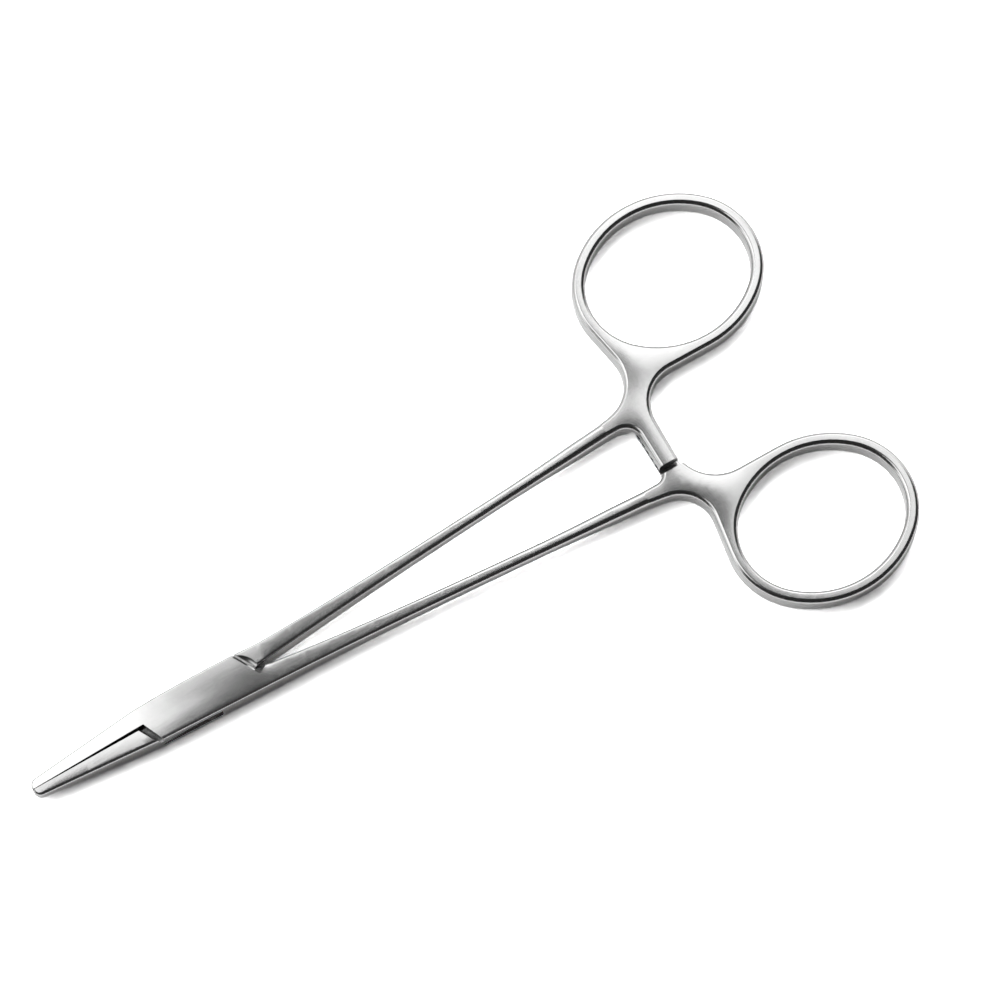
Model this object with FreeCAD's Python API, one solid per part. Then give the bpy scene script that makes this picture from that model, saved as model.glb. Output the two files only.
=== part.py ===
import FreeCAD, Part
import math
import os

# Surgical needle holder, closed and lying flat.  Millimetres, X from the jaws to the
# finger rings, Y across, Z up.  The pivot axis is at X = 0, Y = 0, the underside at Z = 0.

V = FreeCAD.Vector

# whole instrument
box_thickness = 3.9
mid_z = box_thickness / 2
ring_thickness = 3.6

# jaws
jaw_tip = 26.8
jaw_tip_half = 1.28
jaw_tip_round = 1.15
jaw_root_half = 2.86
jaw_tip_thickness = 1.9
jaw_gap_tip = 0.10
jaw_gap_root = 0.50
jaw_nose_plain = 0.7
jaw_edge_round = 0.45
groove_pitch = 0.85
groove_depth = 0.16
groove_angle = 35.0

# box lock
box_half = 3.0
box_front = 9.25
box_front_side = 7.8
box_rear = 8.0
box_rear_side = 6.1
box_edge_round = 0.35
plate_thickness = 1.15
plate_clearance = 0.06
flank_clearance = 0.08
front_gap = 0.65
rear_gap = 0.30
shoulder_bevel = 0.30
boss_radius = 2.9
flank_slope = 0.16
flank_offset = 1.45
swing_stop = 42.0
pin_radius = 1.0
pin_clearance = 0.04

# finger rings: an oval of four arcs, ring_end_turn is half the turn of each end arc
ring_x = 87.27
ring_y = 21.0
ring_half_length = 14.15
ring_half_width = 12.22
ring_end_turn = 47.6
ring_wire = 1.9
neck_lean = 9.5

# shanks, across, where they leave the box and where they reach the hub
root_x = 10.0
male_root = (-0.08, 2.68)
female_root = (0.72, 3.62)
male_hub = (4.35, 6.6)
female_hub = (5.05, 7.25)
hub_lead = 5.62
hub_x = ring_x - ring_half_length - hub_lead
shank_narrow = 1.72
shank_thin = 2.35
shank_waist = 0.72
shank_spans = 11
shank_seat = 0.02
shank_reach = 0.4

# hubs, where shank, ratchet arm and ring meet
hub_edge_round = 0.8
knee_rise = 1.15
male_knee = 6.3
female_knee = 4.9
male_crotch = 2.2
female_crotch = 1.6
male_outer_crotch = 5.8
female_outer_crotch = 6.3

# ratchet
arm_lead = 1.72
arm_left = ring_x - ring_half_length - arm_lead
arm_width = 2.93
arm_right = arm_left + arm_width
arm_flare = 0.4
bar_gap = 0.06
male_bar_end = -3.3
female_bar_end = -3.1
male_step = 3.55
female_step = 3.8
step_slope = 1.0
tooth_pitch = 1.2
tooth_height = 0.45
tooth_count = 4


def at(point, z=0.0):
    return V(point[0], point[1], z)


def line(a, b):
    return Part.LineSegment(at(a), at(b)).toShape()


def arc(a, b, c):
    return Part.Arc(at(a), at(b), at(c)).toShape()


def prism(edges, low, high):
    wire = Part.Wire(Part.__sortEdges__(edges))
    solid = Part.Face(wire).extrude(V(0, 0, high - low))
    solid.translate(V(0, 0, low))
    return solid


def polygon(points, low, high):
    corners = list(points) + [points[0]]
    edges = [line(corners[i], corners[i + 1]) for i in range(len(points))]
    return prism(edges, low, high)


def polar(radius, degrees):
    turn = math.radians(degrees)
    return (radius * math.cos(turn), radius * math.sin(turn))


def half_turn(shape):
    # the half turn about the lengthwise axis that makes one side of the other
    turned = shape.copy()
    turned.rotate(V(0, 0, mid_z), V(1, 0, 0), 180)
    return turned


def edge_near(shape, point):
    return min(shape.Edges, key=lambda e: e.CenterOfMass.distanceToPoint(point))


def round_upright(shape, corner, radius):
    # rounds the upright edge that stands over a corner of the plan
    edge = edge_near(shape, at(corner, mid_z))
    return shape.makeFillet(radius, [edge])


def bevel(shape, start, end):
    # flat bevel along both rims of an upright face that runs from start to end in the plan,
    # with the metal on its left
    along = at(end) - at(start)
    along.normalize()
    inward = V(-along.y, along.x, 0)
    top = V(start[0], start[1], box_thickness)
    size = shoulder_bevel
    corners = [
        top + inward * (size + 1) + V(0, 0, 1),
        top - inward - V(0, 0, size + 1),
        top - inward * 2 + V(0, 0, 2),
    ]
    face = Part.Face(Part.makePolygon(corners + [corners[0]]))
    face.translate(along * -1)
    tool = face.extrude(along * (at(start).distanceToPoint(at(end)) + 2))
    return shape.cut(tool).cut(flat_mirror(tool))


def jaw_line(x):
    # half the gap between the closed jaws at X = x
    share = (x + jaw_tip) / (jaw_tip - box_front)
    return (jaw_gap_tip + (jaw_gap_root - jaw_gap_tip) * share) / 2


def thin_jaw(shape):
    # both flats slope from the box to the tip
    drop = (box_thickness - jaw_tip_thickness) / 2
    start = -box_front - front_gap - 0.2
    end = -jaw_tip - 2.0
    slope = drop / (jaw_tip + start)
    depth = slope * (start - end)
    wedge = Part.Face(Part.makePolygon([
        V(start, -8, box_thickness),
        V(end, -8, box_thickness - depth),
        V(end, -8, box_thickness + 2),
        V(start, -8, box_thickness + 2),
        V(start, -8, box_thickness),
    ])).extrude(V(0, 16, 0))
    return shape.cut(wedge).cut(half_turn(wedge))


def groove_tools():
    # crossing furrows of the gripping face, for the jaw on the +Y side
    tools = []
    length = 4 * box_thickness
    count = int((jaw_tip - box_front - 1.0) / groove_pitch)
    for index in range(count):
        x = -jaw_tip + jaw_nose_plain + index * groove_pitch
        y = jaw_line(x)
        for angle in (groove_angle, -groove_angle):
            face = Part.Face(Part.makePolygon([
                V(-groove_depth * 1.5, -groove_depth * 0.5, -length / 2),
                V(groove_depth * 1.5, -groove_depth * 0.5, -length / 2),
                V(0, groove_depth, -length / 2),
                V(-groove_depth * 1.5, -groove_depth * 0.5, -length / 2),
            ]))
            tool = face.extrude(V(0, 0, length))
            tool.rotate(V(0, 0, 0), V(0, 1, 0), angle)
            tool.translate(V(x, y, mid_z))
            tools.append(tool)
    limit = Part.makeBox(
        jaw_tip - box_front - 1.4, 2.0, box_thickness + 2,
        V(-jaw_tip + 0.4, -0.8, -1),
    )
    return [tool.common(limit) for tool in tools]


def jaw_side(x):
    # outer edge of the jaw on the +Y side at X = x
    share = (x + jaw_tip) / (jaw_tip - box_front)
    return jaw_tip_half + (jaw_root_half - jaw_tip_half) * share


def jaw_corners():
    nose = (-jaw_tip, jaw_gap_tip / 2)
    corner = (-jaw_tip, jaw_tip_half)
    return nose, corner


def outside_rims(shape):
    # the long edges around the outside of a jaw or of the box, not those along the
    # gripping face and the shoulders
    rims = []
    for edge in shape.Edges:
        box = edge.BoundBox
        level = box.ZLength < 0.1 * max(box.XLength, box.YLength)
        inside = abs(edge.CenterOfMass.y) < jaw_gap_root
        across = box.YLength > 1.2 * box.XLength
        if level and not inside and not across and box.XMax < root_x + 1e-6:
            rims.append(edge)
    return rims


def male_jaw():
    nose, corner = jaw_corners()
    inner = (-box_front - front_gap, jaw_line(-box_front))
    outer_x = -box_front_side - front_gap
    outer = (outer_x, jaw_side(outer_x))
    body = polygon([nose, inner, outer, corner], 0, box_thickness)
    body = thin_jaw(round_upright(body, corner, jaw_tip_round))
    body = body.makeFillet(jaw_edge_round, outside_rims(body))
    body = bevel(body, inner, outer)
    return half_turn(body.cut(groove_tools()))


def box_body():
    # the shape of the two plates, with the jaw on the +Y side and the root of the shank
    nose, corner = jaw_corners()
    inner = (-box_front, jaw_gap_root / 2)
    front_side = (-box_front_side, -box_half)
    rear_side = (box_rear_side, box_half - 0.1)
    notch = (box_rear, -0.5)
    root_in = (root_x, -female_root[0])
    root_out = (root_x, -female_root[1])
    jaw_root = (-box_front, jaw_root_half)
    bulge = (-1.0, box_half + 0.04)
    edges = [
        line(nose, inner),
        line(inner, front_side),
        line(front_side, root_out),
        line(root_out, root_in),
        line(root_in, notch),
        line(notch, rear_side),
        arc(rear_side, bulge, jaw_root),
        line(jaw_root, corner),
        line(corner, nose),
    ]
    body = prism(edges, 0, box_thickness)
    body = thin_jaw(round_upright(body, corner, jaw_tip_round))
    body = body.makeFillet(box_edge_round, outside_rims(body))
    return bevel(body, notch, rear_side)


def wall_keeper(clearance):
    # plan of the wall on the -Y side: outside the turned boss, below the flank of the
    # neck, and behind the stop face that the neck meets when fully open
    radius = boss_radius + clearance
    offset = flank_offset + clearance
    stop = -90 + swing_stop / 2
    start = polar(radius, stop)
    outside = polar(3 * radius, stop)
    a = 1 + flank_slope ** 2
    b = -2 * flank_slope * offset
    c = offset ** 2 - radius ** 2
    meet_x = (-b + math.sqrt(b * b - 4 * a * c)) / (2 * a)
    meet = (meet_x, flank_slope * meet_x - offset)
    far = (3 * root_x, flank_slope * 3 * root_x - offset)
    turn = math.degrees(math.atan2(meet[1], meet[0]))
    edges = [
        arc(start, polar(radius, (stop + turn) / 2), meet),
        line(meet, far),
        line(far, (3 * root_x, outside[1])),
        line((3 * root_x, outside[1]), outside),
        line(outside, start),
    ]
    return prism(edges, 0, box_thickness)


def box_slot():
    low = plate_thickness
    high = box_thickness - plate_thickness
    size = 2 * jaw_tip
    block = Part.makeBox(size, size, high - low, V(-size / 2, -size / 2, low))
    wall = wall_keeper(flank_clearance)
    return block.cut(wall).cut(about_pivot(wall))


def about_pivot(shape):
    turned = shape.copy()
    turned.rotate(V(0, 0, 0), V(0, 0, 1), 180)
    return turned


def neck():
    # the flat neck of the inner half, filling the box between its two plates
    low = plate_thickness + plate_clearance
    high = box_thickness - low
    stop = 90 - swing_stop / 2
    side = box_half - 0.05
    front = -box_front - front_gap
    lap = 0.8
    corner = polar(boss_radius, 180 + stop)
    reach = side / math.sin(math.radians(stop))
    flush = polar(reach, 180 + stop)
    fan = polygon([
        corner,
        flush,
        (-box_front_side, -side),
        (-box_front_side - front_gap, -side + 0.05),
        (-box_front_side - front_gap - lap, -side + 0.4),
        (front - lap, -jaw_line(-box_front) - 0.4),
        (front, -jaw_line(-box_front)),
        (front, flank_slope * front + flank_offset),
        (0, flank_offset),
        (0, 0),
    ], low, high)
    boss = Part.makeCylinder(boss_radius, high - low, V(0, 0, low))
    rear = about_pivot(fan)
    trim = Part.makeBox(60, 60, 10, V(root_x - 1.2, -30, -2))
    return boss.fuse([fan, rear.cut(trim)])


def male_shank_root():
    outer = (box_rear_side + rear_gap, box_half - 0.13)
    inner = (box_rear + rear_gap, -0.25)
    root_in = (root_x, male_root[0])
    root_out = (root_x, male_root[1])
    body = polygon([outer, inner, root_in, root_out], 0, box_thickness)
    sides = []
    for a, b in ((outer, root_out), (inner, root_in)):
        for z in (0, box_thickness):
            sides.append(edge_near(body, at(((a[0] + b[0]) / 2, (a[1] + b[1]) / 2), z)))
    body = body.makeFillet(box_edge_round, sides)
    # turned relief that leaves a crescent along the shoulder
    bite = 0.7
    cone = Part.makeCone(3.39 - bite, 3.39 + bite, 2 * bite, V(5.22, -0.61, box_thickness - bite))
    return body.cut(cone).cut(flat_mirror(cone))


def flat_mirror(shape):
    return shape.mirror(V(0, 0, mid_z), V(0, 0, 1))


def rounded_section(x, low_y, high_y, height, radius):
    y0 = low_y
    y1 = high_y
    z0 = mid_z - height / 2
    z1 = mid_z + height / 2
    r = radius
    k = r * (1 - math.sqrt(0.5))
    edges = [
        Part.LineSegment(V(x, y0 + r, z0), V(x, y1 - r, z0)),
        Part.Arc(V(x, y1 - r, z0), V(x, y1 - k, z0 + k), V(x, y1, z0 + r)),
        Part.LineSegment(V(x, y1, z0 + r), V(x, y1, z1 - r)),
        Part.Arc(V(x, y1, z1 - r), V(x, y1 - k, z1 - k), V(x, y1 - r, z1)),
        Part.LineSegment(V(x, y1 - r, z1), V(x, y0 + r, z1)),
        Part.Arc(V(x, y0 + r, z1), V(x, y0 + k, z1 - k), V(x, y0, z1 - r)),
        Part.LineSegment(V(x, y0, z1 - r), V(x, y0, z0 + r)),
        Part.Arc(V(x, y0, z0 + r), V(x, y0 + k, z0 + k), V(x, y0 + r, z0)),
    ]
    return Part.Wire([edge.toShape() for edge in edges])


def shank(root, hub):
    # slim bar: wide and thick at the box, thinnest at its waist, thicker again at the hub.
    # Its middle line is straight, and both ends reach a little way into what they join
    start = root_x - shank_reach
    span = hub_x + shank_reach - start
    root_middle = sum(root) / 2
    hub_middle = sum(hub) / 2
    root_width = root[1] - root[0] - 2 * shank_seat
    hub_width = hub[1] - hub[0] - 2 * shank_seat
    root_height = box_thickness - 2 * shank_seat
    hub_height = ring_thickness - 2 * shank_seat
    wires = []
    for index in range(shank_spans + 1):
        share = index / shank_spans
        box_end = max(0.0, 1 - share / shank_waist)
        rise = max(0.0, (share - shank_waist) / (1 - shank_waist))
        hub_end = rise * rise * (3 - 2 * rise)
        width = shank_narrow
        width += (root_width - shank_narrow) * box_end ** 3
        width += (hub_width - shank_narrow) * hub_end
        height = shank_thin
        height += (root_height - shank_thin) * box_end ** 2
        height += (hub_height - shank_thin) * hub_end
        radius = box_edge_round + (hub_edge_round - box_edge_round) * share
        middle = root_middle + (hub_middle - root_middle) * share
        low = middle - width / 2
        wires.append(rounded_section(start + span * share, low, low + width, height, radius))
    return Part.makeLoft(wires, True, True)


def oval(inset):
    # four arcs that meet smoothly: half length, half width, the point where an end meets
    # a side, the centre of the end arc and its radius, all from the middle of the ring
    turn = math.radians(ring_end_turn)
    a = ring_half_length
    b = ring_half_width
    k = (1 - math.sin(turn)) / math.cos(turn)
    end = (b - a * k) / (1 - k)
    end_x = a - end
    end -= inset
    join = (end_x + end * math.cos(turn), end * math.sin(turn))
    return a - inset, b - inset, join, end_x, end


def ring_arc(start, middle, stop):
    points = [(ring_x + x, ring_y + y) for x, y in (start, middle, stop)]
    return arc(*points)


def ring_hole():
    a, b, (x, y), end_x, end = oval(ring_wire)
    edges = [
        ring_arc((x, -y), (a, 0), (x, y)),
        ring_arc((x, y), (0, b), (-x, y)),
        ring_arc((-x, y), (-a, 0), (-x, -y)),
        ring_arc((-x, -y), (0, -b), (x, -y)),
    ]
    return prism(edges, 0, box_thickness)


def neck_line(y):
    # straight left side of the neck, which runs down from the end arc of the ring
    a, b, join, end_x, end = oval(0)
    lean = math.radians(neck_lean)
    top_x = ring_x - end_x - end * math.cos(lean)
    top_y = ring_y - end * math.sin(lean)
    return top_x + (top_y - y) * math.tan(lean), top_y


def hub_and_ring(hub, crotch, outer_crotch, knee_round, bar_end):
    # one flat plate: end of the shank, ratchet arm and ring, for the half on the +Y side
    z0 = mid_z - ring_thickness / 2
    z1 = mid_z + ring_thickness / 2
    a, b, (x, y), end_x, end = oval(0)
    arm_end = bar_end - 3.0
    inner = (hub_x, hub[0])
    outer = (hub_x, hub[1])
    elbow = (arm_left, hub[0])
    shelf = (arm_right + arm_flare, ring_y - b)
    knee_y = hub[1] + knee_rise
    knee = (neck_line(knee_y)[0], knee_y)
    neck_y = neck_line(0)[1]
    neck_top = (neck_line(neck_y)[0], neck_y)
    on_end = math.radians(neck_lean / 2)
    end_point = (-end_x - end * math.cos(on_end), -end * math.sin(on_end))
    neck_point = (neck_top[0] - ring_x, neck_top[1] - ring_y)
    edges = [
        line(inner, elbow),
        line(elbow, (arm_left, arm_end)),
        line((arm_left, arm_end), (arm_right, arm_end)),
        line((arm_right, arm_end), shelf),
        line(shelf, (ring_x, ring_y - b)),
        ring_arc((0, -b), side_point(x / 2), (x, -y)),
        ring_arc((x, -y), (a, 0), (x, y)),
        ring_arc((x, y), (0, b), (-x, y)),
        ring_arc((-x, y), end_point, neck_point),
        line(neck_top, knee),
        line(knee, outer),
        line(outer, inner),
    ]
    plate = prism(edges, z0, z1)
    plate = round_upright(plate, elbow, crotch)
    plate = round_upright(plate, shelf, outer_crotch)
    plate = round_upright(plate, knee, knee_round)
    plate = plate.cut(ring_hole())
    # three narrow bevels follow the round of each rim: one at 45 degrees, then one on
    # each of its edges
    first = hub_edge_round * (2 - math.sqrt(2))
    tangents = math.tan(math.radians(22.5)) - math.tan(math.radians(11.25))
    plate = plate.makeChamfer(first, level_edges(plate, arm_end))
    return plate.makeChamfer(hub_edge_round * tangents, level_edges(plate, arm_end))


def level_edges(plate, arm_end):
    # edges that run round the plate, not those of its cut ends
    found = []
    for edge in plate.Edges:
        box = edge.BoundBox
        level = box.ZLength < 1e-6
        at_shank = box.XMax < hub_x + 1e-6
        at_arm_end = box.YMax < arm_end + 1e-6
        if level and not at_shank and not at_arm_end:
            found.append(edge)
    return found


def side_point(x):
    # a point of the lower long side of the ring, which is an arc about a point above it
    a, b, join, end_x, end = oval(0)
    side = b + end_x * math.tan(math.radians(ring_end_turn))
    return x, side - b - math.sqrt(side ** 2 - x ** 2)


def ratchet_tool(bar_end, step):
    # takes away the lower half of the arm and leaves saw teeth on its under face
    crest = mid_z + bar_gap / 2
    root = crest + tooth_height
    corners = [(bar_end - 6, -1.0), (bar_end - 6, crest), (bar_end, crest)]
    for index in range(tooth_count):
        start = bar_end + 0.5 + index * tooth_pitch
        corners.append((start, root))
        corners.append((start + 0.88 * tooth_pitch, crest))
    corners.append((bar_end + 0.5 + tooth_count * tooth_pitch, root))
    corners.append((step - step_slope * 0.1, root))
    corners.append((step + step_slope, -1.0))
    points = [V(arm_left - 3, y, z) for y, z in corners]
    face = Part.Face(Part.makePolygon(points + [points[0]]))
    return face.extrude(V(arm_right - arm_left + 6, 0, 0))


def rear_half(hub, crotch, outer_crotch, knee_round, bar_end, step):
    plate = hub_and_ring(hub, crotch, outer_crotch, knee_round, bar_end)
    plate = plate.cut(ratchet_tool(bar_end, step))
    beyond = Part.makeBox(8, 20, 12, V(arm_left - 2, bar_end - 20, -4))
    return plate.cut(beyond)


def female_half():
    rear = rear_half(
        female_hub, female_crotch, female_outer_crotch, female_knee,
        female_bar_end, female_step,
    )
    bar = shank(female_root, female_hub)
    front = box_body().cut(groove_tools()).cut(box_slot())
    body = front.fuse([half_turn(bar), half_turn(rear)])
    hole = Part.makeCylinder(pin_radius, 3 * box_thickness, V(0, 0, -box_thickness))
    return body.cut(hole).removeSplitter().Solids[0]


def male_half():
    rear = rear_half(
        male_hub, male_crotch, male_outer_crotch, male_knee, male_bar_end, male_step
    )
    bar = shank(male_root, male_hub)
    body = male_jaw().fuse([neck(), male_shank_root(), bar, rear])
    radius = pin_radius + pin_clearance
    hole = Part.makeCylinder(radius, 3 * box_thickness, V(0, 0, -box_thickness))
    return body.cut(hole).removeSplitter().Solids[0]


def pivot_pin():
    return Part.makeCylinder(pin_radius, box_thickness)


os.makedirs("parts", exist_ok=True)
female_half().exportStep("parts/female_half.step")
male_half().exportStep("parts/male_half.step")
pivot_pin().exportStep("parts/pivot_pin.step")
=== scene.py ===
import math

import bmesh
import bpy
import numpy as np
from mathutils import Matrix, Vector
from mathutils.bvhtree import BVHTree


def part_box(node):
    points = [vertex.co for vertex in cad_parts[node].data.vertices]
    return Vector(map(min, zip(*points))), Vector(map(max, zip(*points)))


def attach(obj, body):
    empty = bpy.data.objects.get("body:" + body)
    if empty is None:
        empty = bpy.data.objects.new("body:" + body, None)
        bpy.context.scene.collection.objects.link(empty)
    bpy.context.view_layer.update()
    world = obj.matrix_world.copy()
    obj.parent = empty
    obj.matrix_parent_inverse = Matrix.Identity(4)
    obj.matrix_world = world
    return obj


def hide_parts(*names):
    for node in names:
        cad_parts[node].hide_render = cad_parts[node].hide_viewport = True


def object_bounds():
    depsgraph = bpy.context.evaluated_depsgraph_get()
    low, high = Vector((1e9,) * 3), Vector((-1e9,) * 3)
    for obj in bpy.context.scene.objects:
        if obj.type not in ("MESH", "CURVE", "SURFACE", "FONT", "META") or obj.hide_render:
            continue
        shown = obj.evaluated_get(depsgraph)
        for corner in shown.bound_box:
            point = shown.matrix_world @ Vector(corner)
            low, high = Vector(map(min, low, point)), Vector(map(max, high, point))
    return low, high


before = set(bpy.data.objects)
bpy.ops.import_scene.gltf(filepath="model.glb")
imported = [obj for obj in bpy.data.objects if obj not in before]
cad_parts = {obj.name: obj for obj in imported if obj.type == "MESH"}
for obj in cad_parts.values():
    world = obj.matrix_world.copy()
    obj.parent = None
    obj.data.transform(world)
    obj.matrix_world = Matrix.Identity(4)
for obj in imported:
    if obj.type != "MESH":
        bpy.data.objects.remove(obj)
cad_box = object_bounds()

# Female half: the forging with the slotted box, one jaw, the lower shank and the lower ring.
# Stainless steel, drop forged, milled, then satin finished by glass beads; the rims are
# eased by hand and the ring is polished brighter than the rest.
mm = 0.001
middle_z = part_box("pivot_pin")[1].z / 2
jaw_reach = 26.8 * mm
jaw_start = 10.1 * mm
box_reach = 9.65 * mm
shank_end = 67.6 * mm
ring_starts = 76 * mm
ring_polished = 84 * mm

steel_white = (0.65, 0.65, 0.645, 1)
steel_grey = (0.54, 0.54, 0.54, 1)
cloud_size = 5 * mm
satin_roughness = 0.20
satin_spread = 0.07
polished_roughness = 0.19
bead_size = 0.16 * mm
brush_length = 2.6 * mm
grain_height = 0.01 * mm
satin_grain = 0.32
polished_grain = 0.06

# painted shade in the jaws: what faces a wall closer than this is painted dark where less of
# the room is open
crevice_shade_distance = 1.4 * mm
crevice_painted_shade = (0.06, 0.06, 0.06, 1)
crevice_shut = 0.38
crevice_open = 0.50
crevice_last = -box_reach + 1 * mm
crevice_none = -box_reach + 3 * mm


def satin_steel():
    material = bpy.data.materials.new("satin_steel")
    material.use_nodes = True
    tree = material.node_tree
    tree.nodes.clear()
    out = tree.nodes.new("ShaderNodeOutputMaterial")
    steel = tree.nodes.new("ShaderNodeBsdfPrincipled")
    tree.links.new(steel.outputs["BSDF"], out.inputs["Surface"])
    steel.inputs["Metallic"].default_value = 1.0
    place = tree.nodes.new("ShaderNodeTexCoord")

    # how far along the instrument: 0 on the satin parts, 1 on the polished rings
    axes = tree.nodes.new("ShaderNodeSeparateXYZ")
    tree.links.new(place.outputs["Object"], axes.inputs["Vector"])
    polish = tree.nodes.new("ShaderNodeMapRange")
    polish.interpolation_type = "SMOOTHSTEP"
    polish.inputs["From Min"].default_value = ring_starts
    polish.inputs["From Max"].default_value = ring_polished
    tree.links.new(axes.outputs["X"], polish.inputs["Value"])

    # soft clouds from hand finishing
    clouds = tree.nodes.new("ShaderNodeTexNoise")
    clouds.inputs["Scale"].default_value = 1 / cloud_size
    clouds.inputs["Detail"].default_value = 3
    clouds.inputs["Roughness"].default_value = 0.55
    tree.links.new(place.outputs["Object"], clouds.inputs["Vector"])
    tone = tree.nodes.new("ShaderNodeMix")
    tone.data_type = "RGBA"
    tone.inputs["A"].default_value = steel_grey
    tone.inputs["B"].default_value = steel_white
    tree.links.new(clouds.outputs["Fac"], tone.inputs["Factor"])

    # painted shade: the narrow gaps and furrows of the jaws are painted darker where nearby
    # walls shut out the room
    occlusion = tree.nodes.new("ShaderNodeAmbientOcclusion")
    occlusion.samples = 16
    occlusion.inputs["Distance"].default_value = crevice_shade_distance
    open_air = tree.nodes.new("ShaderNodeMapRange")
    open_air.interpolation_type = "SMOOTHSTEP"
    open_air.inputs["From Min"].default_value = crevice_shut
    open_air.inputs["From Max"].default_value = crevice_open
    tree.links.new(occlusion.outputs["AO"], open_air.inputs["Value"])
    behind = tree.nodes.new("ShaderNodeMapRange")
    behind.interpolation_type = "SMOOTHSTEP"
    behind.inputs["From Min"].default_value = crevice_last
    behind.inputs["From Max"].default_value = crevice_none
    tree.links.new(axes.outputs["X"], behind.inputs["Value"])
    clear = tree.nodes.new("ShaderNodeMath")
    clear.operation = "MAXIMUM"
    tree.links.new(open_air.outputs["Result"], clear.inputs[0])
    tree.links.new(behind.outputs["Result"], clear.inputs[1])
    # painted shade: the steel's tone is mixed towards the crevice shade colour where little
    # of the room is open
    shade = tree.nodes.new("ShaderNodeMix")
    shade.data_type = "RGBA"
    shade.inputs["A"].default_value = crevice_painted_shade
    tree.links.new(clear.outputs["Value"], shade.inputs["Factor"])
    tree.links.new(tone.outputs["Result"], shade.inputs["B"])
    tree.links.new(shade.outputs["Result"], steel.inputs["Base Color"])

    # fine lines along the instrument under the bead finish
    stretch = tree.nodes.new("ShaderNodeMapping")
    stretch.inputs["Scale"].default_value = (1 / brush_length, 1 / bead_size, 1 / bead_size)
    tree.links.new(place.outputs["Object"], stretch.inputs["Vector"])
    lines = tree.nodes.new("ShaderNodeTexNoise")
    lines.inputs["Scale"].default_value = 1.0
    lines.inputs["Detail"].default_value = 2
    tree.links.new(stretch.outputs["Vector"], lines.inputs["Vector"])
    beads = tree.nodes.new("ShaderNodeTexNoise")
    beads.inputs["Scale"].default_value = 1 / bead_size
    beads.inputs["Detail"].default_value = 1
    tree.links.new(place.outputs["Object"], beads.inputs["Vector"])
    grain = tree.nodes.new("ShaderNodeMix")
    grain.inputs["Factor"].default_value = 0.5
    tree.links.new(lines.outputs["Fac"], grain.inputs["A"])
    tree.links.new(beads.outputs["Fac"], grain.inputs["B"])

    # the grain roughens the satin parts and fades out on the rings
    satin = tree.nodes.new("ShaderNodeMapRange")
    satin.inputs["To Min"].default_value = satin_roughness - satin_spread
    satin.inputs["To Max"].default_value = satin_roughness + satin_spread
    tree.links.new(grain.outputs["Result"], satin.inputs["Value"])
    rough = tree.nodes.new("ShaderNodeMix")
    tree.links.new(polish.outputs["Result"], rough.inputs["Factor"])
    tree.links.new(satin.outputs["Result"], rough.inputs["A"])
    rough.inputs["B"].default_value = polished_roughness
    tree.links.new(rough.outputs["Result"], steel.inputs["Roughness"])
    depth = tree.nodes.new("ShaderNodeMapRange")
    depth.inputs["To Min"].default_value = satin_grain
    depth.inputs["To Max"].default_value = polished_grain
    tree.links.new(polish.outputs["Result"], depth.inputs["Value"])
    bump = tree.nodes.new("ShaderNodeBump")
    bump.inputs["Distance"].default_value = grain_height
    tree.links.new(depth.outputs["Result"], bump.inputs["Strength"])
    tree.links.new(grain.outputs["Result"], bump.inputs["Height"])
    tree.links.new(bump.outputs["Normal"], steel.inputs["Normal"])
    return material


steel = satin_steel()

# Hand grinding leaves the flats slightly crowned, so that the light fades from edge to edge.
# The crown is that of a thin skin blown up over the outline of the closed instrument, seen
# from above: each point of a flat leans away from the middle of the bar.
crown_lean = 0.16
crown_half = 3.0 * mm
map_cell = 0.2 * mm
map_margin = 4
closed_gap = 2
blow_steps = 900
smooth_steps = 3
corners = []
facets = []
for node in ("female_half", "male_half", "pivot_pin"):
    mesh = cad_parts[node].data
    facets += [[len(corners) + i for i in face.vertices] for face in mesh.polygons]
    corners += [vertex.co.copy() for vertex in mesh.vertices]
closed_shape = BVHTree.FromPolygons(corners, facets)
map_x, map_y = (cad_box[0][axis] - map_margin * map_cell for axis in (0, 1))
length, width = (cad_box[1][axis] - cad_box[0][axis] for axis in (0, 1))
columns = int(length / map_cell) + 2 * map_margin + 1
rows = int(width / map_cell) + 2 * map_margin + 1
inside = np.zeros((columns, rows))
for i in range(columns):
    for j in range(rows):
        above = Vector((map_x + i * map_cell, map_y + j * map_cell, 1))
        inside[i, j] = closed_shape.ray_cast(above, Vector((0, 0, -1)))[0] is not None


def around(field):
    return [np.roll(field, step, axis) for axis in (0, 1) for step in (-1, 1)]


# the narrow gaps between the two halves are closed first
for _ in range(closed_gap):
    inside = np.max([inside] + around(inside), axis=0)
for _ in range(closed_gap):
    inside = np.min([inside] + around(inside), axis=0)
crown = np.zeros_like(inside)
for _ in range(blow_steps):
    crown = inside * (sum(around(crown)) + map_cell ** 2) / 4
for _ in range(smooth_steps):
    crown = (crown + sum(around(crown))) / 5
slope = np.stack(np.gradient(crown, map_cell), axis=-1)

# the box also leans towards its two ends, and the jaws lean more towards their tips
box_lean = 0.04
jaw_lean = 0.05


def lean(x, y):
    i = min(max(round((x - map_x) / map_cell), 0), columns - 1)
    j = min(max(round((y - map_y) / map_cell), 0), rows - 1)
    across = Vector(slope[i, j])
    across *= -crown_lean / (across.length + crown_half)
    along = box_lean * x / box_reach if -jaw_start < x < box_reach else 0
    if x < -box_reach:
        across.y += jaw_lean * np.sign(y) * (-x - box_reach) / (jaw_reach - box_reach)
    return Vector((across.x + along, across.y, 0))


# the jaws meet in a thin wedge, and their furrows end a little under the flats
gap_tip = 0.10 * mm
gap_root = 0.50 * mm
jaw_root = 0.5 * mm
furrow_depth = 0.2 * mm
furrow_reach = 0.7 * mm


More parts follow.
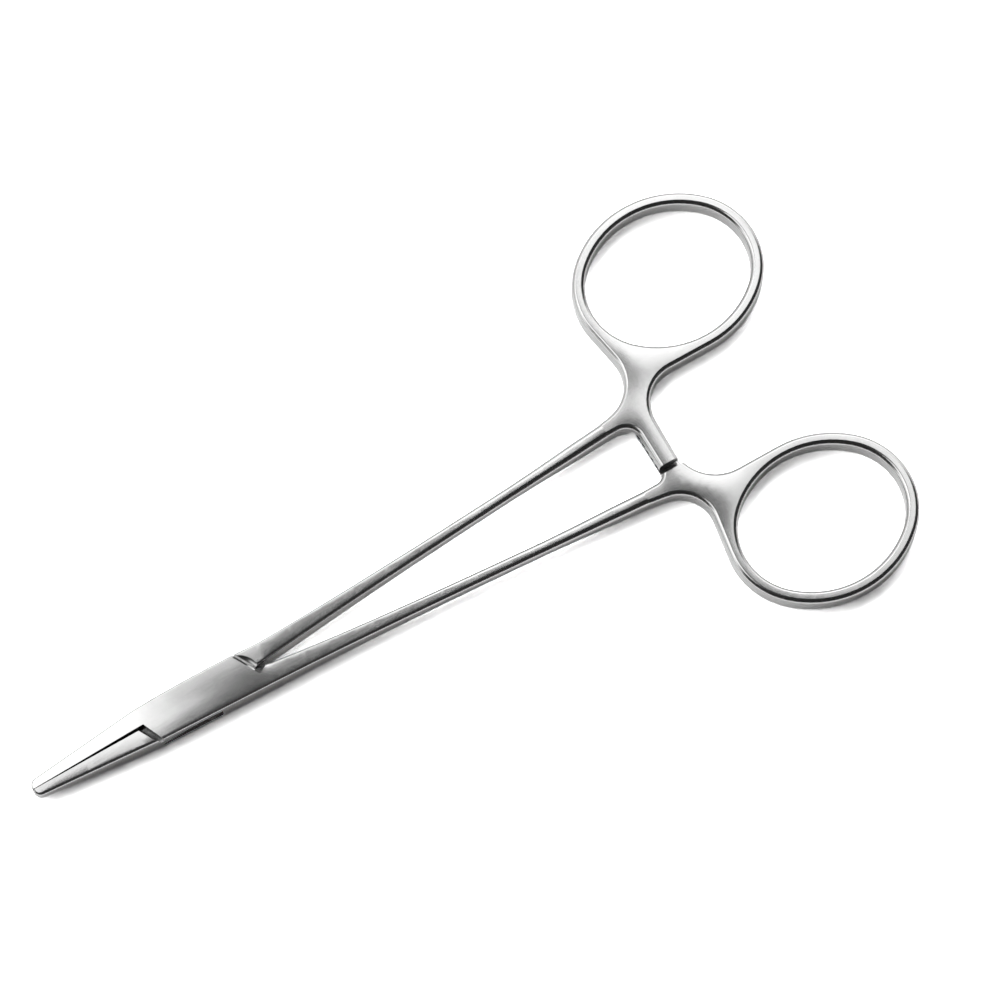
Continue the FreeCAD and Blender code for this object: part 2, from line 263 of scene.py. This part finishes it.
def run_out_furrows(skin):
    for point in skin.verts:
        x, y, z = point.co
        way = (x + jaw_reach) / (jaw_reach - box_reach)
        gap = (gap_tip + (gap_root - gap_tip) * way) / 2
        on_face = x < -box_reach - jaw_root and abs(y) < gap + furrow_depth
        if on_face and abs(z - middle_z) > furrow_reach:
            point.co.y = math.copysign(gap, y)


# the flats are cut into squares of 1 mm, because the crown needs points all over them
flat_facing = 0.995
cuts = np.arange(-39.5, 120, 1.0) * mm


def divide_flats(skin):
    skin.normal_update()
    for face in skin.faces:
        face.material_index = int(abs(face.normal.z) > flat_facing)
    for axis in (0, 1):
        normal = Vector((1 - axis, axis, 0))
        for cut in cuts:
            flats = []
            for face in skin.faces:
                places = [corner.co[axis] for corner in face.verts]
                if face.material_index and min(places) < cut < max(places):
                    flats.append(face)
            edges = {edge for face in flats for edge in face.edges}
            points = {corner for face in flats for corner in face.verts}
            bmesh.ops.bisect_plane(
                skin, geom=flats + list(edges) + list(points),
                plane_co=normal * cut, plane_no=normal,
            )
    skin.normal_update()


# where faces meet at less than this angle, the light runs on from one to the next
sharp_edge = math.radians(32)


def smooth_groups(point):
    groups = {face: {face} for face in point.link_faces}
    for edge in point.link_edges:
        if len(edge.link_faces) == 2 and edge.calc_face_angle(math.pi) < sharp_edge:
            first, second = edge.link_faces
            if groups[first] is not groups[second]:
                joined = groups[first] | groups[second]
                for face in joined:
                    groups[face] = joined
    return groups


# a group of faces takes its direction from its flats, or else from its upright sides
side_facing = 0.02
shank_lean = 0.03
shank_taper = 9 * mm


def crowned_normal(point, group):
    flats = [face for face in group if abs(face.normal.z) > flat_facing]
    sides = [face for face in group if abs(face.normal.z) < side_facing]
    normal = Vector()
    for corner in point.link_loops:
        if corner.face in (flats or sides or group):
            normal += corner.face.normal * corner.calc_angle()
    normal.normalize()
    if flats:
        if box_reach < point.co.x < shank_end:
            normal.x = shank_lean * min(1, (shank_end - point.co.x) / shank_taper)
        normal += lean(point.co.x, point.co.y)
        normal.normalize()
    return normal


weld = 0.002 * mm


def finished(node, name, body):
    # a copy of the node's own shape, with rounds that run smoothly into crowned flats
    skin = bmesh.new()
    skin.from_mesh(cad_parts[node].data)
    bmesh.ops.remove_doubles(skin, verts=skin.verts, dist=weld)
    run_out_furrows(skin)
    divide_flats(skin)
    shading = {}
    for point in skin.verts:
        groups = smooth_groups(point)
        for loop in point.link_loops:
            shading[loop] = crowned_normal(point, groups[loop.face])
    mesh = bpy.data.meshes.new(name)
    skin.to_mesh(mesh)
    normals = [tuple(shading[loop]) for face in skin.faces for loop in face.loops]
    skin.free()
    mesh.materials.clear()
    mesh.materials.append(steel)
    for face in mesh.polygons:
        face.use_smooth = True
        face.material_index = 0
    mesh.normals_split_custom_set(normals)
    piece = bpy.data.objects.new(name, mesh)
    bpy.context.scene.collection.objects.link(piece)
    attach(piece, body)
    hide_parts(node)


finished("female_half", "box_half_steel", "box_half")


# Male half: the forging whose flat neck passes through the box.  The same steel and finish;
# its shank and ring are the upper ones.
finished("male_half", "inner_half_steel", "inner_half")


# Pivot pin: a steel pin pressed through both plates and ground flush with them, so that on
# the finished instrument it can hardly be made out.
finished("pivot_pin", "pivot_pin_steel", "box_half")


# Floor: a white sheet that the instrument lies on, wide enough to fill the picture.  Its
# colour is set apart for the steel that mirrors it and for the camera, which sees it white
# with a tight shadow.
floor_size = 1.2
floor_centre = Vector((0.038, 0, 0))
floor_white = (0.93, 0.93, 0.93, 1)
floor_mirrored = (1.8, 1.8, 1.8, 1)
floor_seen = (6.5, 6.5, 6.5, 1)
sheet = bmesh.new()
bmesh.ops.create_grid(sheet, x_segments=1, y_segments=1, size=floor_size / 2)
bmesh.ops.translate(sheet, verts=sheet.verts, vec=floor_centre)
floor_mesh = bpy.data.meshes.new("floor")
sheet.to_mesh(floor_mesh)
sheet.free()
paper = bpy.data.materials.new("paper")
paper.use_nodes = True
tree = paper.node_tree
tree.nodes.clear()
out = tree.nodes.new("ShaderNodeOutputMaterial")
matt = tree.nodes.new("ShaderNodeBsdfDiffuse")
tree.links.new(matt.outputs["BSDF"], out.inputs["Surface"])
ray = tree.nodes.new("ShaderNodeLightPath")
mirrored = tree.nodes.new("ShaderNodeMix")
mirrored.data_type = "RGBA"
mirrored.inputs["A"].default_value = floor_white
mirrored.inputs["B"].default_value = floor_mirrored
tree.links.new(ray.outputs["Is Glossy Ray"], mirrored.inputs["Factor"])
seen = tree.nodes.new("ShaderNodeMix")
seen.data_type = "RGBA"
seen.inputs["B"].default_value = floor_seen
tree.links.new(ray.outputs["Is Camera Ray"], seen.inputs["Factor"])
tree.links.new(mirrored.outputs["Result"], seen.inputs["A"])
tree.links.new(seen.outputs["Result"], matt.inputs["Color"])
floor_mesh.materials.append(paper)
floor = bpy.data.objects.new("floor", floor_mesh)
bpy.context.scene.collection.objects.link(floor)


# Light: a studio with white panels overhead, a dark gap between them and a dark room behind
# the camera.  The steel shows what it faces: white panel, gap, dark room or white floor.
# The room's light follows the angle from straight up, in degrees, towards the far side.
room_light = ((0, 0.04), (10, 0.07), (18, 0.13), (30, 1.6), (48, 1.5), (58, 0.8), (90, 0.55))
room_ends = 0.7
ends_start = 0.24
ends_dim = 0.08
world = bpy.data.worlds.new("studio")
bpy.context.scene.world = world
world.use_nodes = True
nodes = world.node_tree.nodes
links = world.node_tree.links
nodes.clear()
direction = nodes.new("ShaderNodeTexCoord")
axes = nodes.new("ShaderNodeSeparateXYZ")
links.new(direction.outputs["Generated"], axes.inputs["Vector"])
angle = nodes.new("ShaderNodeMath")
angle.operation = "ARCTAN2"
links.new(axes.outputs["Y"], angle.inputs[0])
links.new(axes.outputs["Z"], angle.inputs[1])
turned = nodes.new("ShaderNodeMapRange")
turned.inputs["From Max"].default_value = math.pi / 2
links.new(angle.outputs["Value"], turned.inputs["Value"])
fade = nodes.new("ShaderNodeValToRGB")
fade.color_ramp.interpolation = "EASE"
fade.color_ramp.elements[0].color = (*[room_light[0][1]] * 3, 1)
fade.color_ramp.elements[1].color = (*[room_light[-1][1]] * 3, 1)
for degrees, light in room_light[1:-1]:
    stop = fade.color_ramp.elements.new(degrees / 90)
    stop.color = (light, light, light, 1)
links.new(turned.outputs["Result"], fade.inputs["Fac"])

# towards its two ends, left and right of the far side, the room is a little darker
ends = nodes.new("ShaderNodeMapRange")
ends.interpolation_type = "SMOOTHSTEP"
ends.inputs["From Min"].default_value = ends_dim
ends.inputs["From Max"].default_value = ends_start
ends.inputs["To Min"].default_value = room_ends
links.new(axes.outputs["Y"], ends.inputs["Value"])
sky = nodes.new("ShaderNodeBackground")
links.new(fade.outputs["Color"], sky.inputs["Color"])
links.new(ends.outputs["Result"], sky.inputs["Strength"])
out = nodes.new("ShaderNodeOutputWorld")
links.new(sky.outputs["Background"], out.inputs["Surface"])
panel_height = 0.5


def panel(name, corner, length, width, turn, brightness):
    # a white panel with one corner given, its length turned from the X axis
    lamp = bpy.data.lights.new(name, "AREA")
    lamp.shape = "RECTANGLE"
    lamp.size = length
    lamp.size_y = width
    lamp.energy = brightness * math.pi * length * width
    box = bpy.data.objects.new(name, lamp)
    bpy.context.scene.collection.objects.link(box)
    along = Vector((math.cos(turn), math.sin(turn), 0))
    aside = Vector((-along.y, along.x, 0))
    box.location = Vector((*corner, panel_height)) + along * length / 2 + aside * width / 2
    box.rotation_euler.z = turn


left_turn = math.radians(26)
right_turn = math.radians(20)
panel("left_panel", (-0.273, -0.05), 0.36, 0.26, left_turn, brightness=1.6)
panel("right_panel", (0.211, 0.04), 0.08, 0.30, right_turn, brightness=1.6)
panel("side_panel", (0.286, 0.067), 0.26, 0.30, right_turn, brightness=0.9)


# Camera: the photograph's own viewing angle, found from the two finger rings.
elevation = math.radians(71.5)
azimuth = math.radians(-30.2)
distance = 0.6612
aim_at = Vector((0.050215, 0.0048, 0))
back = Vector((
    math.sin(azimuth) * math.cos(elevation),
    -math.cos(azimuth) * math.cos(elevation),
    math.sin(elevation),
))
lens = bpy.data.cameras.new("camera")
lens.sensor_width = 36
lens.lens = 169.2
lens.clip_start = 0.01
lens.clip_end = 10
camera = bpy.data.objects.new("camera", lens)
bpy.context.scene.collection.objects.link(camera)
camera.location = aim_at + back * distance
camera.rotation_mode = "QUATERNION"
camera.rotation_quaternion = (-back).to_track_quat("-Z", "Y")
bpy.context.scene.camera = camera

bpy.context.scene.view_settings.view_transform = "Standard"
